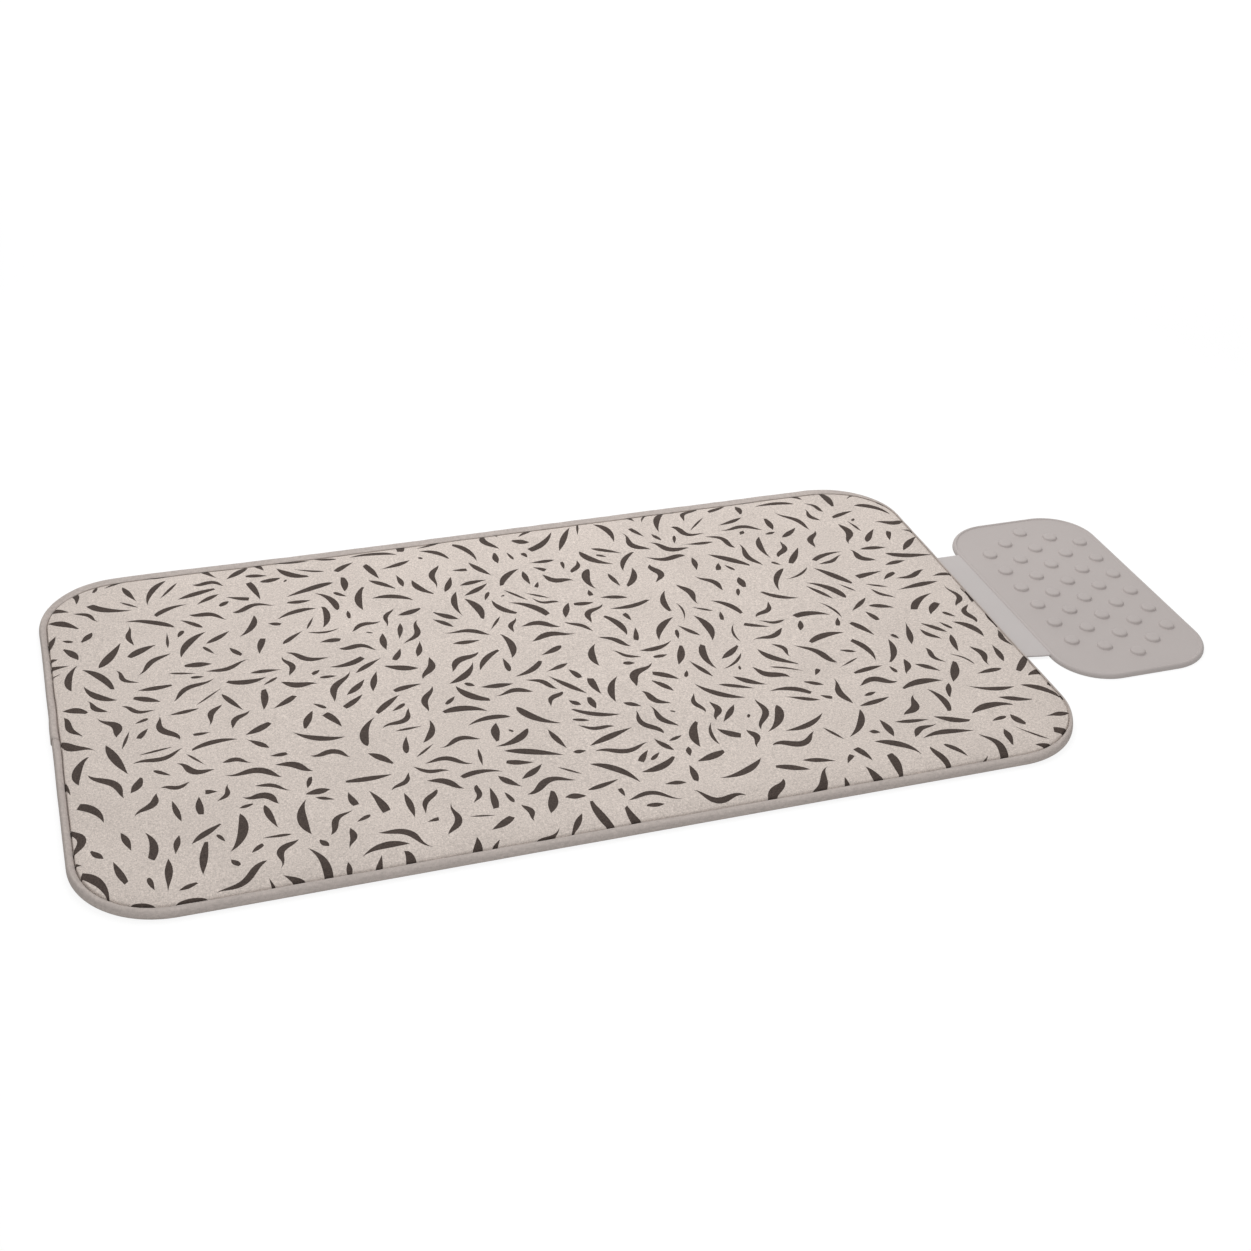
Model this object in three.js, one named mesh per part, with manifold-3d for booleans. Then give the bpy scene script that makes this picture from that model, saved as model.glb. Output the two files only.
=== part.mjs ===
// Ironing pad for a table top, with a silicone iron rest on one short side.
// The pad is a soft laminate: printed canvas, a heat reflecting cloth, felt, foam and a backing cloth,
// pressed together at the edge by one folded tape. The rest is one silicone moulding. Its flange is
// sewn into the pad's edge, its thin neck bends at two fold lines, and its plate lies on the table or
// folds over onto the pad. Millimetres, +Z up. The origin is the centre of the pad's underside, +X runs
// along the pad towards the rest, and +Y to the far side.
import * as THREE from "three";
import { mergeVertices } from "three/addons/utils/BufferGeometryUtils.js";
import Module from "manifold-3d";

// Pad outline
const padLength = 915;
const padWidth = 526;
const padCornerRadius = 81;
const crownRun = 27; // from the seam to the flat top

// Layers in the middle of the pad, and pressed flat under the tape
const coverThickness = 0.6;
const reflectorThickness = 0.3;
const feltThickness = 4;
const feltPressed = 2.6;
const foamThickness = 5.5;
const foamPressed = 3;
const backingThickness = 0.6;
const layerGap = 0.3;

// Edge tape
const tapeThickness = 0.8;
const tapeWidth = 9; // from the outer fold to the seam
const tapeFoldRadius = 4.2;

// Silicone rest
const restLength = 166;
const restWidth = 306;
const restCornerRadius = 52;
const restOffset = -6.5; // the rest is sewn a little off the pad's middle
const restFloor = 4.2;
const rimHeight = 1;
const rimWidth = 2.4;
const rimSlope = 1.2;
const edgeRounding = 1;
const restReach = 29; // from the pad's edge to the plate
const studRadius = 7;
const studTopRadius = 4;
const studHeight = 3;
const studColumnPitch = 27.2;
const studRowPitch = 35;
const studsPerColumn = [6, 7, 8, 7, 6];
const studShift = 6; // the middle column, from the middle of the plate

// Neck with its two fold lines
const neckWidth = 202;
const neckThickness = 1.8;
const foldSpacing = 14;
const foldClearance = 0.6; // between the tape and the raised neck
const foldSlit = 0.3;
const foldGrooveWidth = 2.4;
const flangeDepth = 12; // from the pad's edge inwards
const cutClearance = 0.3;
const overrun = 2;

// Facets
const cornerSteps = 8;
const foldSteps = 3;
const studSides = 10;

// Sizes that follow
const halfPad = padLength / 2;
const stackPressed = backingThickness + foamPressed + feltPressed + reflectorThickness
  + coverThickness + 4 * layerGap;
const tapeHeight = stackPressed + 2 * (tapeThickness + layerGap);
const neckBottom = tapeThickness + layerGap + backingThickness + layerGap;
const foldHeight = neckBottom + neckThickness / 2;
const firstFold = halfPad + foldClearance + neckThickness / 2;
const secondFold = firstFold + foldSpacing;
const plateStart = halfPad + restReach;
const plateCentre = plateStart + restLength / 2;

const wasm = await Module();
wasm.setup();

// Points of a rounded rectangle, drawn in by an inset, anticlockwise from above.
function roundedLoop(length, width, radius, inset) {
  const points = [];
  const reach = radius - inset;
  const corners = [[1, 1], [-1, 1], [-1, -1], [1, -1]];
  corners.forEach(([sx, sy], quarter) => {
    for (let step = 0; step <= cornerSteps; step += 1) {
      const angle = (quarter + step / cornerSteps) * Math.PI / 2;
      const x = sx * (length / 2 - radius) + reach * Math.cos(angle);
      const y = sy * (width / 2 - radius) + reach * Math.sin(angle);
      points.push(new THREE.Vector2(x, y));
    }
  });
  return points;
}

// A closed body round a rounded rectangle. The section is a list of [inset, height] points, walked so
// that the body lies on its left. An open section starts and ends on flat caps, a closed one is a ring.
function sweepRound({ length, width, radius }, section, isRing) {
  const loops = section.map(([inset]) => roundedLoop(length, width, radius, inset));
  const count = loops[0].length;
  const positions = [];
  loops.forEach((loop, row) => loop.forEach((p) => positions.push(p.x, p.y, section[row][1])));
  const index = [];
  const rows = isRing ? section.length : section.length - 1;
  for (let row = 0; row < rows; row += 1) {
    const next = (row + 1) % section.length;
    for (let i = 0; i < count; i += 1) {
      const j = (i + 1) % count;
      const [a, b, c, d] = [row * count + i, row * count + j, next * count + j, next * count + i];
      index.push(a, b, c, a, c, d);
    }
  }
  if (!isRing) {
    const last = (section.length - 1) * count;
    for (const [a, b, c] of THREE.ShapeUtils.triangulateShape(loops[0], [])) index.push(a, c, b);
    for (const [a, b, c] of THREE.ShapeUtils.triangulateShape(loops[section.length - 1], [])) {
      index.push(last + a, last + b, last + c);
    }
  }
  const geometry = new THREE.BufferGeometry();
  geometry.setAttribute("position", new THREE.Float32BufferAttribute(positions, 3));
  geometry.setIndex(index);
  return geometry;
}

function toSolid(geometry) {
  const bare = geometry.clone();
  bare.deleteAttribute("normal");
  bare.deleteAttribute("uv");
  const merged = mergeVertices(bare);
  return new wasm.Manifold(new wasm.Mesh({
    numProp: 3,
    vertProperties: new Float32Array(merged.attributes.position.array),
    triVerts: new Uint32Array(merged.index.array),
  }));
}

function toGeometry(solid) {
  const mesh = solid.getMesh();
  const geometry = new THREE.BufferGeometry();
  geometry.setAttribute("position", new THREE.BufferAttribute(mesh.vertProperties, 3));
  geometry.setIndex(new THREE.BufferAttribute(mesh.triVerts, 1));
  return geometry;
}

function block(low, high) {
  const size = new THREE.Vector3().subVectors(high, low);
  const middle = new THREE.Vector3().addVectors(low, high).multiplyScalar(1 / 2);
  const geometry = new THREE.BoxGeometry(size.x, size.y, size.z);
  return geometry.translate(middle.x, middle.y, middle.z);
}

// How far a layer has come up from pressed (0) to its full form (1), at a distance from the edge.
function looseness(inset) {
  const share = THREE.MathUtils.clamp((inset - tapeWidth) / crownRun, 0, 1);
  return 1 - (1 - share) ** 2;
}

// The layers from the bottom up, each with its thickness in the middle and under the tape.
const layers = [
  { name: "backing_cloth", full: backingThickness, pressed: backingThickness },
  { name: "foam_padding", full: foamThickness, pressed: foamPressed },
  { name: "felt_padding", full: feltThickness, pressed: feltPressed },
  { name: "reflecting_layer", full: reflectorThickness, pressed: reflectorThickness },
  { name: "top_cover", full: coverThickness, pressed: coverThickness },
];

function layerHeights(number, inset) {
  const loose = looseness(inset);
  let bottom = THREE.MathUtils.lerp(tapeThickness + layerGap, 0, loose);
  for (const layer of layers.slice(0, number)) {
    bottom += THREE.MathUtils.lerp(layer.pressed, layer.full, loose) + layerGap;
  }
  const { full, pressed } = layers[number];
  return [bottom, bottom + THREE.MathUtils.lerp(pressed, full, loose)];
}

function layerGeometry(number) {
  const crownShares = [0, 0.15, 0.35, 0.6, 1];
  const insets = [tapeFoldRadius, ...crownShares.map((share) => tapeWidth + share * crownRun)];
  const bottom = insets.map((inset) => [inset, layerHeights(number, inset)[0]]).reverse();
  const top = insets.map((inset) => [inset, layerHeights(number, inset)[1]]);
  const outline = { length: padLength, width: padWidth, radius: padCornerRadius };
  return sweepRound(outline, [...bottom, ...top], false);
}

// The space that the flange and the neck need through the pad's edge.
function flangeSpace() {
  const halfWidth = neckWidth / 2 + cutClearance;
  return toSolid(block(
    new THREE.Vector3(halfPad - flangeDepth - cutClearance, restOffset - halfWidth, 0),
    new THREE.Vector3(halfPad + overrun, restOffset + halfWidth, tapeHeight),
  ));
}

function foamGeometry(number) {
  return toGeometry(toSolid(layerGeometry(number)).subtract(flangeSpace()));
}

// Section of the folded tape: a rounded fold outside, two lips over and under the layers.
function tapeSection() {
  const arc = (radius, centreHeight, start, end) => {
    const points = [];
    for (let step = 0; step <= foldSteps; step += 1) {
      const angle = THREE.MathUtils.lerp(start, end, step / foldSteps) * Math.PI / 180;
      points.push([tapeFoldRadius - radius * Math.cos(angle), centreHeight + radius * Math.sin(angle)]);
    }
    return points;
  };
  const low = tapeFoldRadius;
  const high = tapeHeight - tapeFoldRadius;
  const inner = tapeFoldRadius - tapeThickness;
  const outside = [
    [tapeWidth, 0],
    ...arc(tapeFoldRadius, low, -90, 0),
    ...arc(tapeFoldRadius, high, 0, 90),
    [tapeWidth, tapeHeight],
  ];
  const inside = [
    [tapeWidth, tapeHeight - tapeThickness],
    ...arc(inner, high, 90, 0),
    ...arc(inner, low, 0, -90),
    [tapeWidth, tapeThickness],
  ];
  return [...outside, ...inside];
}

function bindingGeometry() {
  const outline = { length: padLength, width: padWidth, radius: padCornerRadius };
  const ring = toSolid(sweepRound(outline, tapeSection(), true));
  const halfWidth = neckWidth / 2 + cutClearance;
  const slot = toSolid(block(
    new THREE.Vector3(halfPad - tapeWidth, restOffset - halfWidth, neckBottom - cutClearance),
    new THREE.Vector3(halfPad + overrun, restOffset + halfWidth, neckBottom + neckThickness + cutClearance),
  ));
  return toGeometry(ring.subtract(slot));
}

// A strip of the neck between two places along X. An end at a fold line is cut back to a groove that
// opens upwards, so that the next strip can turn up through a right angle.
function neckStrip(start, end, startFolds, endFolds) {
  const cutAtBottom = foldSlit / 2;
  const cutAtTop = foldGrooveWidth / 2;
  const top = neckBottom + neckThickness;
  const shape = new THREE.Shape([
    new THREE.Vector2(start + (startFolds ? cutAtBottom : 0), neckBottom),
    new THREE.Vector2(end - (endFolds ? cutAtBottom : 0), neckBottom),
    new THREE.Vector2(end - (endFolds ? cutAtTop : 0), top),
    new THREE.Vector2(start + (startFolds ? cutAtTop : 0), top),
  ]);
  const geometry = new THREE.ExtrudeGeometry(shape, { depth: neckWidth, bevelEnabled: false });
  geometry.rotateX(Math.PI / 2);
  return geometry.translate(0, restOffset + neckWidth / 2, 0);
}

function plateSolid() {
  const rimTop = restFloor + rimHeight;
  const section = [
    [edgeRounding, 0],
    [0, edgeRounding],
    [0, rimTop - edgeRounding],
    [edgeRounding, rimTop],
    [edgeRounding + rimWidth, rimTop],
    [edgeRounding + rimWidth + rimSlope, restFloor],
  ];
  const outline = { length: restLength, width: restWidth, radius: restCornerRadius };
  return toSolid(sweepRound(outline, section, false).translate(plateCentre, restOffset, 0));
}

// A low stud with a flat top and a round shoulder, rooted in the plate's floor.
function studSolid(x, y) {
  const shoulderShare = 0.8;
  const profile = [
    [0, -restFloor / 2],
    [studRadius, -restFloor / 2],
    [studRadius, 0],
    [THREE.MathUtils.lerp(studRadius, studTopRadius, 1 / 3), studHeight * shoulderShare],
    [studTopRadius, studHeight],
    [0, studHeight],
  ].map(([radius, height]) => new THREE.Vector2(radius, height));
  const geometry = new THREE.LatheGeometry(profile, studSides);
  geometry.rotateX(Math.PI / 2);
  return toSolid(geometry.translate(x, y, restFloor));
}

function studSolids() {
  const middleColumn = (studsPerColumn.length - 1) / 2;
  return studsPerColumn.flatMap((count, column) => {
    const x = plateCentre + studShift + (column - middleColumn) * studColumnPitch;
    const rows = Array.from({ length: count }, (_, row) => row - (count - 1) / 2);
    return rows.map((row) => studSolid(x, restOffset + row * studRowPitch));
  });
}

function restPlateGeometry() {
  const rooted = plateStart + edgeRounding + rimWidth;
  const neck = toSolid(neckStrip(secondFold, rooted, true, false));
  return toGeometry(wasm.Manifold.union([plateSolid(), neck, ...studSolids()]));
}

const canvas = { color: 0xd2c7bf, roughness: 0.95, metalness: 0 };
const metallised = { color: 0xb9b9bd, roughness: 0.45, metalness: 0.6 };
const felt = { color: 0xe4e0d8, roughness: 1, metalness: 0 };
const foam = { color: 0xeeeae0, roughness: 1, metalness: 0 };
const backing = { color: 0xb8b0a8, roughness: 0.95, metalness: 0 };
const tape = { color: 0xa89e97, roughness: 0.9, metalness: 0 };
const silicone = { color: 0xbeb8b4, roughness: 0.6, metalness: 0 };

function piece(name, geometry, look) {
  const mesh = new THREE.Mesh(geometry, new THREE.MeshStandardMaterial(look));
  mesh.name = name;
  return mesh;
}

function pad() {
  const group = new THREE.Group();
  const looks = [backing, foam, felt, metallised, canvas];
  layers.forEach(({ name }, number) => {
    const isNotched = name === "foam_padding";
    const geometry = isNotched ? foamGeometry(number) : layerGeometry(number);
    group.add(piece(name, geometry, looks[number]));
  });
  group.add(piece("edge_binding", bindingGeometry(), tape));
  return group;
}

function ironRest() {
  const group = new THREE.Group();
  group.add(piece("rest_flange", neckStrip(halfPad - flangeDepth, firstFold, false, true), silicone));
  group.add(piece("rest_web", neckStrip(firstFold, secondFold, true, true), silicone));
  group.add(piece("rest_plate", restPlateGeometry(), silicone));
  return group;
}

const ironingPad = new THREE.Group();
ironingPad.add(pad(), ironRest());
export default ironingPad;
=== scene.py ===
import itertools
import math
import random

import bmesh
import bpy
import numpy as np
from mathutils import Matrix, Vector, geometry, kdtree, noise
from numpy.linalg import norm


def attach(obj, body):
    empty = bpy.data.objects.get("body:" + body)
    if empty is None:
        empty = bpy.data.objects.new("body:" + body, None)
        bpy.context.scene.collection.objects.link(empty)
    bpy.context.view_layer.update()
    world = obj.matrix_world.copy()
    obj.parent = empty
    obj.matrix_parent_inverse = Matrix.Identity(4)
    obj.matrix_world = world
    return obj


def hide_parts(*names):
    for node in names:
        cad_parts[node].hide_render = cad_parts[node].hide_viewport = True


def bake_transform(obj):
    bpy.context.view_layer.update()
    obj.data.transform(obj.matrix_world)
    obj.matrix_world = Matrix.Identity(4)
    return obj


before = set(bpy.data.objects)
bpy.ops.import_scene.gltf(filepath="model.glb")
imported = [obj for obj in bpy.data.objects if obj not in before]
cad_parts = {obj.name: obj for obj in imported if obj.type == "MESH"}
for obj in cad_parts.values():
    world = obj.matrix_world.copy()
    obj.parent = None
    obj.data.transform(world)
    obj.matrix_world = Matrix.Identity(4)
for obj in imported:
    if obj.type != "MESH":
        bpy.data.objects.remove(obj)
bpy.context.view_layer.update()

scene = bpy.context.scene
MM = 0.001
TAU = 2 * math.pi


def mm(*values):
    """Millimetres to metres."""
    return tuple(value * MM for value in values)


# Pad outline and edge
HALF_LENGTH, HALF_WIDTH, CORNER = mm(457.5, 263, 81)
PAD_HALF = (HALF_LENGTH, HALF_WIDTH)
EDGE_TOP = 10.5 * MM
WIDEST = 3.4 * MM  # height at which the edge stands out furthest
LOW_FOLD = 4.8 * MM  # how far in the edge is round below that height
CROWN_RUN = 27 * MM  # how far in from the seam the layers reach their full height
CROWN_POWER = 2.6
GAP = 0.3 * MM  # between neighbouring pieces

# The pad's far left corner is cut fuller than the others
FULLER_PLACE = mm(-360, 200)
FULLER_BY = 4.5 * MM
FULLER_SPREAD = 0.012  # square metres

# The edge on the right, far, left and near sides
SEAMS = mm(2.8, 12, 7.3, 7.8)  # how far in the tape's inner edge lies
CRESTS = mm(1.6, 3.8, 2.7, 4.4)  # how far in its crest lies
DROPS = mm(0.5, 0.6, 3, 0.4)  # how far it sinks from crest to seam
RISES = mm(1.5, 1.3, 1.2, 2)  # over what width the cover rises beyond
SLITS = mm(1.2, 1.8, 0.8, 1.7)  # how deep the stitching draws the cover in beside the tape
SLIT_WIDTHS = mm(0.6, 0.8, 0.5, 1.05)
SINKS = (0, 0, 0, 2.3 * MM)  # how much flatter the whole edge is pressed
SLIT_PLACE = 0.65  # where the slit is deepest, as a share of its width
DROP_POWER = 1.7
SEAM_WOBBLE, SEAM_WAVE = mm(0.45, 45)
FULL_WOBBLE_FROM = 7 * MM  # where the tape is narrower it wobbles less
LEAST_WOBBLE = 0.3

# Tape
TAPE = 0.8 * MM
UNDER_SEAM = 9 * MM  # how far in the tape's lower edge lies
UNDER_LIFT = 0.2 * MM
CUT_EDGE = mm(-0.1, -0.3)  # how much further out and lower the cut edge's outer corner is
TAPE_STEPS = mm(4, 3)
TAPE_START = 14 * MM  # along Y, on the left side
LAP_RINGS, LAP_RISE_RINGS, SLANT_RINGS = 5, 6, 4
LAP_LIFT, LAP_SLANT = mm(0.9, 5)
LAP_MIDDLE = (8 * MM, EDGE_TOP / 2)  # the end is lifted away from here, as inset and height
RIPPLE, RIPPLE_WAVE = mm(0.25, 11)
BULGE, BULGE_WAVE = mm(0.3, 50)
BULGE_DEPTH = 5 * MM  # how far in the slow bulges reach
BULGE_RISE = 0.6
SLOT_REACH = 9 * MM

# Layers from the bottom up: name, thickness in the middle, thickness pressed at the edge
LAYERS = (
    ("backing", *mm(0.6, 0.6)),
    ("foam", *mm(5.5, 3)),
    ("felt", *mm(4, 2.6)),
    ("reflector", *mm(0.3, 0.3)),
    ("cover", *mm(0.6, 0.6)),
)
FOAM = 1
FULL_HEIGHT = sum(thick for _, thick, _ in LAYERS) + GAP * (len(LAYERS) - 1)
LAYER_EDGE = 4.3 * MM  # how far in the layers are cut
FOAM_EDGE = 13.6 * MM  # clear of the rest's sewn-in flange
# How much of the padding's swell and of the seam's dip each top under the cover follows
SWELL_SHARES = (0, 0.6, 1, 1)
DIP_SHARES = (0, 0.7, 1, 1)
LAYER_SLACK, COVER_SLACK = mm(1.7, 0.8)  # how much wider the dip is there, and under the cover
BACKING_RUN = 9 * MM  # how far from the tape the backing comes down to the table
# Slow rises and hollows of the padding: height, wavelength, seed
LUMPS = ((*mm(0.22, 160), 7.7), (*mm(0.12, 65), 2.2))
PUCKER, PUCKER_WAVE, PUCKER_FADE = mm(0.35, 16, 14)
PRESSED, PRESSED_FADE = 0.9, 25 * MM

# Silicone rest
PLATE_AT = mm(569.5, -6.5)
PLATE_HALF = mm(83, 153)
PLATE_CORNER = 52 * MM
PLATE_FLOOR = 3.9 * MM
STUD_COLUMNS = (519.5, 546.7, 573.9, 601.1, 628.3)
STUD_COUNTS = (6, 7, 8, 7, 6)
STUD_PITCH = 35 * MM
STUD_MIDDLE = -3.6 * MM
STUD_SIDES = 28
STUDS = np.array([
    (x * MM, STUD_MIDDLE + (row - (count - 1) / 2) * STUD_PITCH)
    for x, count in zip(STUD_COLUMNS, STUD_COUNTS) for row in range(count)
])
STUD_ROOM = 10 * MM
NECK_HALF = 101 * MM
NECK_BOTTOM, NECK_TOP = mm(2, 3.8)
NECK_ROUND = 0.42  # of its thickness
NECK_STEP = 0.8 * MM
NECK_SLIM = 3.5 * MM  # how much narrower it is at the pad, on the near side
SLIM_FROM, SLIM_RUN = mm(486, 28)
FLANGE_DEPTH = 12 * MM
NECK_IN_PLATE = 3.4 * MM
WEB_MIDDLE = 466 * MM

# The plate's section in mm: inset and height, from the bottom's edge round to the rim's foot
PLATE_PROFILE = (
    (1, 0), (0.6, 0.08), (0.3, 0.3), (0.08, 0.62), (0, 1), (0.06, 1.8), (0.25, 2.7), (0.6, 3.55),
    (1.1, 4.25), (1.7, 4.75), (2.4, 5.08), (3, 5.2), (3.5, 5.15), (3.9, 4.95), (4.2, 4.6), (4.45, 4.25),
    (4.8, 4), (5.3, 3.91), (6.2, 3.9),
)
# A stud's section in mm: radius and height above the floor
STUD_PROFILE = (
    (8.9, 0), (8.3, 0.08), (7.9, 0.3), (7.65, 0.8), (7.45, 1.45), (7.2, 2.05), (6.7, 2.6), (5.8, 2.95),
    (4.5, 3.15), (2.6, 3.24), (0, 3.26),
)


# Outline of the pad
def outline(step, corner_step, half=PAD_HALF, radius=CORNER):
    """Points round a rounded rectangle, anticlockwise from above, and their outward normals."""
    points, normals = [], []
    centres = np.array(((1, 1), (-1, 1), (-1, -1), (1, -1))) * (np.array(half) - radius)
    turns = max(3, round(radius * math.pi / 2 / corner_step))
    for quarter, centre in enumerate(centres):
        for k in range(turns + 1):
            angle = (quarter + k / turns) * math.pi / 2
            normal = np.array((math.cos(angle), math.sin(angle)))
            points.append(centre + radius * normal)
            normals.append(normal)
        start, goal = points[-1], centres[(quarter + 1) % 4] + radius * normal
        count = max(1, round(norm(goal - start) / step))
        for k in range(1, count):
            points.append(start + (goal - start) * k / count)
            normals.append(normal)
    return np.array(points), np.array(normals)


def edge_frame(p, half=PAD_HALF, radius=CORNER):
    """How far in from a rounded rectangle's edge points lie, the outward normals and the edge points."""
    sign = np.where(p < 0, -1.0, 1.0)
    q = np.abs(p) - (np.array(half) - radius)
    reach = norm(np.maximum(q, 0), axis=1)
    distance = reach + np.minimum(q.max(1), 0) - radius
    flat = np.where(q[:, :1] > q[:, 1:], (1.0, 0.0), (0.0, 1.0))
    rounded = np.maximum(q, 0) / np.maximum(reach, 1e-9)[:, None]
    normal = sign * np.where((q.min(1) > 0)[:, None], rounded, flat)
    return -distance, normal, p - distance[:, None] * normal


def noise_at(p, wavelength, seed):
    """Smooth noise about -1 to 1 at 2-D points."""
    gain = 1.6
    return np.array([noise.noise((x / wavelength, y / wavelength, seed)) for x, y in p]) * gain


def by_side(normal, values):
    """Blends values for the right, far, left and near sides round the corners."""
    right, far, left, near = values
    along_x = np.where(normal[:, 0] > 0, right, left)
    along_y = np.where(normal[:, 1] > 0, far, near)
    share = normal[:, 0] ** 2
    return share * along_x + (1 - share) * along_y


def seam_inset(normal, foot):
    """How far in the tape's inner edge lies, which is never quite even."""
    base = by_side(normal, SEAMS)
    wobble = noise_at(foot, SEAM_WAVE, seed=3.1)
    return base + SEAM_WOBBLE * wobble * np.clip(base / FULL_WOBBLE_FROM, LEAST_WOBBLE, 1)


def warp(p):
    """The pad isn't cut quite square: its far left corner is fuller."""
    x, y = p[:, 0] - FULLER_PLACE[0], p[:, 1] - FULLER_PLACE[1]
    fuller = np.exp(-(x * x / FULLER_SPREAD + y * y / FULLER_SPREAD))
    moved = p.copy()
    moved[:, 1] += FULLER_BY * fuller * np.clip(p[:, 1] / HALF_WIDTH, 0, 1)
    return moved


# Heights of the layers
def smooth(t):
    """Eases from 0 to 1 as t goes from 0 to 1."""
    t = np.clip(t, 0, 1)
    return t * t * (3 - 2 * t)


def relaxed(p):
    """How far the layers have come up, from pressed (0) to full (1), and how far in from the edge."""
    inset, normal, foot = edge_frame(p)
    t = np.clip((inset - seam_inset(normal, foot)) / CROWN_RUN, 0, 1)
    return 1 - (1 - t) ** CROWN_POWER, inset


# How far the simulated cover lies above or below its plain form, on a grid
SETTLE_CELL = 6 * MM
SETTLE_MARGIN = 2
settled = np.zeros([math.ceil(2 * half / SETTLE_CELL) + 2 * SETTLE_MARGIN for half in PAD_HALF])


def under_rest(p):
    """1 where the studs stand when the rest is folded over the pad, 0 well away from there."""
    middle = (2 * WEB_MIDDLE - PLATE_AT[0], PLATE_AT[1])
    apart = edge_frame(p - middle, PLATE_HALF, PLATE_CORNER)[0]
    return smooth(1 + apart / PRESSED_FADE)


def swell(p):
    """The padding's lumps and the cover's settling over them, pressed flatter under the folded rest."""
    at = (p + PAD_HALF) / SETTLE_CELL + SETTLE_MARGIN
    i, j = (np.clip(np.floor(at[:, k]).astype(int), 0, settled.shape[k] - 2) for k in (0, 1))
    u, v = np.clip(at[:, 0] - i, 0, 1), np.clip(at[:, 1] - j, 0, 1)
    total = sum(height * noise_at(p, wavelength, seed) for height, wavelength, seed in LUMPS)
    for a, along in enumerate((1 - u, u)):
        for b, across in enumerate((1 - v, v)):
            total = total + settled[i + a, j + b] * along * across
    return np.where(total > 0, total * (1 - PRESSED * under_rest(p)), total)


def tape_dip(inset, seam, crest, drop, height):
    """How far the tape's upper side lies below its crest."""
    out = np.clip((crest - inset) / crest, 0, 1)
    inward = np.clip((inset - crest) / (seam - crest), 0, 1)
    return (height - WIDEST) * (1 - (1 - out**2) ** 0.5) + drop * inward**DROP_POWER


def lowered(p, slack=0.0):
    """How far the cover lies below the tape's crest: under the tape, in the slit beside it, and beyond.
    With slack the dip is wider by that much, so that what lies beneath keeps clear."""
    inset, normal, foot = edge_frame(p)
    crest, drop, rise, slit, width, sink = (
        by_side(normal, values) for values in (CRESTS, DROPS, RISES, SLITS, SLIT_WIDTHS, SINKS)
    )
    seam = seam_inset(normal, foot)
    past = inset - seam
    beyond = 1 - smooth(past / (rise + 2 * slack))
    drawn = slit * np.exp(-(((past - SLIT_PLACE * width) / (width + slack)) ** 2))
    dip = tape_dip(np.minimum(inset, seam), seam, crest, drop, EDGE_TOP - sink)
    return dip * beyond + drawn + sink * (1 - relaxed(p)[0])


def underside(p):
    """Bottom of the lowest layer: it lies over the tape's lower half, then comes down to the table."""
    inset = edge_frame(p)[0]
    return (TAPE + GAP) * (1 - smooth((inset - UNDER_SEAM) / BACKING_RUN))


def layer_top(p, number):
    """Top of a layer under the cover."""
    if number == 0:
        return underside(p) + LAYERS[0][1]
    full = relaxed(p)[0]
    z = (TAPE + GAP) * (1 - full)
    for k, (_, thick, pressed) in enumerate(LAYERS[: number + 1]):
        z = z + pressed + (thick - pressed) * full + (GAP if k else 0)
    return z + SWELL_SHARES[number] * full * swell(p) - DIP_SHARES[number] * lowered(p, LAYER_SLACK)


def cover_top(p, slack=0.0):
    """Top of the printed cover: under the tape, drawn down beside it, then up over the padding."""
    full, inset = relaxed(p)
    edge = EDGE_TOP - TAPE - GAP
    pucker = noise_at(p, PUCKER_WAVE, seed=5.5) * np.exp(-inset / PUCKER_FADE) * PUCKER
    plain = edge + full * (FULL_HEIGHT - edge + swell(p))
    return plain + smooth(full * 3) * pucker - lowered(p, slack)


# Mesh building
SHARP_ANGLE = math.radians(60)
ROW_PITCH = 0.866  # of the spacing, for even triangles
INSIDE_ONLY, SAME_POINT = 1, 1e-7
# How far past the seam each ring of points lies, in mm
RINGS = (-0.9, -0.35, 0.05, 0.35, 0.65, 1, 1.5, 2.2, 3.2, 4.6, 6.5, 9, 13, 18, 25)
RING_ROOM = 0.35 * MM
GRID_MARGIN = 36 * MM
CLEAR_CELL = 0.35 * MM


def new_object(name, data):
    obj = bpy.data.objects.new(name, data)
    scene.collection.objects.link(obj)
    return obj


def mesh_object(name, vertices, faces):
    mesh = bpy.data.meshes.new(name)
    mesh.from_pydata([tuple(v) for v in vertices], [], faces)
    mesh.validate()
    mesh.polygons.foreach_set("use_smooth", [True] * len(mesh.polygons))
    return new_object(name, mesh)


def rim_of(triangles):
    """The open edge of a triangle mesh, as a loop of point numbers."""
    rim = {}
    for a, b, c in triangles:
        for pair in ((a, b), (b, c), (c, a)):
            if pair[::-1] in rim:
                del rim[pair[::-1]]
            else:
                rim[pair] = True
    follow = dict(rim.keys())
    loop = [next(iter(follow))]
    while follow[loop[-1]] != loop[0]:
        loop.append(follow[loop[-1]])
    return loop


def triangulate(boundary, points, marks=()):
    """Triangles inside a boundary loop, through loose points and along the edges of marks. Returns
    the points, the triangles and each boundary point's new number."""
    spots, loops = [], []
    for loop in (boundary, *marks):
        loops.append(list(range(len(spots), len(spots) + len(loop))))
        spots.extend(Vector(c) for c in loop)
    spots.extend(Vector(c) for c in points)
    out = geometry.delaunay_2d_cdt(spots, [], loops, INSIDE_ONLY, SAME_POINT, True)
    place = {}
    for new, originals in enumerate(out[3]):
        for original in originals:
            place[original] = new
    triangles = [tuple(face) for face, origins in zip(out[2], out[5]) if 0 in origins]
    return np.array([tuple(v) for v in out[0]]), triangles, [place[k] for k in loops[0]]


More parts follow.
